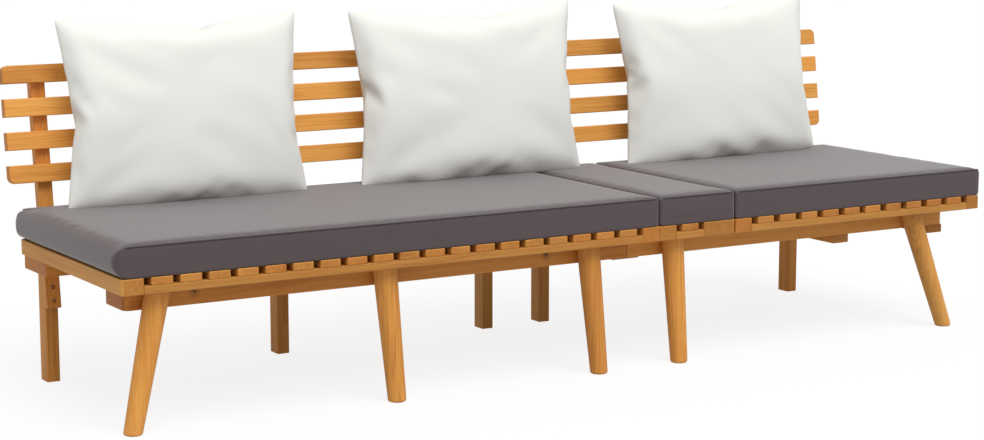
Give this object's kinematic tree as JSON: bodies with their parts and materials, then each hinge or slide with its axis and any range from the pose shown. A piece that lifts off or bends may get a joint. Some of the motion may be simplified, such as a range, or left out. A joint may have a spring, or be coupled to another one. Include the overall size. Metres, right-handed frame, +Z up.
{
  "type": "garden daybed",
  "caption": "Low wooden garden daybed with slatted seat, leaning slatted back, splayed front legs, seat pad, loose pillows and a head end that lifts on a prop.",
  "frame": {"origin": "on the floor, under the middle of the daybed's box", "axes": "+X along the seat to the head end, +Y to the backrest, +Z up"},
  "size_m": [2.115, 0.6246, 0.7493],
  "materials": {
    "wood": "oiled golden hardwood",
    "zinc_steel": "zinc plated",
    "seat_fabric": "warm grey woven cloth",
    "pillow_fabric": "off-white woven cloth"
  },
  "bodies": {
    "frame": {"backrest_post_1": "wood", "backrest_post_2": "wood", "backrest_post_3": "wood", "backrest_post_4": "wood", "backrest_post_5": "wood", "beam_joint_plates": "zinc_steel", "cross_batten_end": "wood", "cross_batten_inner": "wood", "cushion_left": "seat_fabric", "cushion_mid": "seat_fabric", "front_beam_left": "wood", "front_beam_right": "wood", "front_leg_1": "wood", "front_leg_2": "wood", "front_leg_3": "wood", "front_leg_4": "wood", "front_leg_5": "wood", "hinge_leaves_fixed": "zinc_steel", "hinge_pins": "zinc_steel", "left_back_slat_1": "wood", "left_back_slat_2": "wood", "left_back_slat_3": "wood", "left_back_slat_4": "wood", "left_panel_front_strip": "wood", "left_panel_rail_left": "wood", "left_panel_rail_right": "wood", "left_panel_rear_strip": "wood", "left_panel_slats": "wood", "leg_studs": "zinc_steel", "mid_hinge_board": "wood", "mid_panel_rail": "wood", "mid_panel_slat": "wood", "mid_panel_strips": "wood", "notched_rails": "wood", "pillow_left": "pillow_fabric", "pillow_mid": "pillow_fabric", "post_bolts": "zinc_steel", "rear_beam_left": "wood", "rear_beam_right": "wood", "rear_leg_1": "wood", "rear_leg_2": "wood", "rear_leg_3": "wood", "rear_leg_4": "wood", "rear_leg_5": "wood", "right_back_slat_1": "wood", "right_back_slat_2": "wood", "right_back_slat_3": "wood", "right_back_slat_4": "wood"},
    "head_panel": {"head_rail_hinge": "wood", "head_rail_end": "wood", "head_front_strip": "wood", "head_rear_strip": "wood", "head_slats": "wood", "hinge_leaves_moving": "zinc_steel", "prop_brackets": "wood", "cushion_head": "seat_fabric"},
    "prop_stay": {"prop_arms": "wood", "prop_foot_bar": "zinc_steel"},
    "pillow_right": {"pillow_right": "pillow_fabric"}
  },
  "joints": [
    {"name": "head_tilt", "type": "hinge", "parent": "frame", "child": "head_panel", "pos_m": [0.3555, 0, 0.308], "axis": [0, -1, 0], "range_deg": [0, 40]},
    {"name": "prop_swing", "type": "hinge", "parent": "head_panel", "child": "prop_stay", "pos_m": [0.6805, 0, 0.265], "axis": [0, 1, 0], "range_deg": [0, 84]},
    {"name": "pillow_lay", "type": "hinge", "parent": "head_panel", "child": "pillow_right", "pos_m": [0, 0.1063, 0.3666], "axis": [1, 0, 0], "range_deg": [0, 100]}
  ],
  "couplings": [
    {"joint": "prop_swing", "follows": "head_tilt", "ratio": 2.0833},
    {"joint": "pillow_lay", "follows": "head_tilt", "ratio": 2.4375}
  ]
}
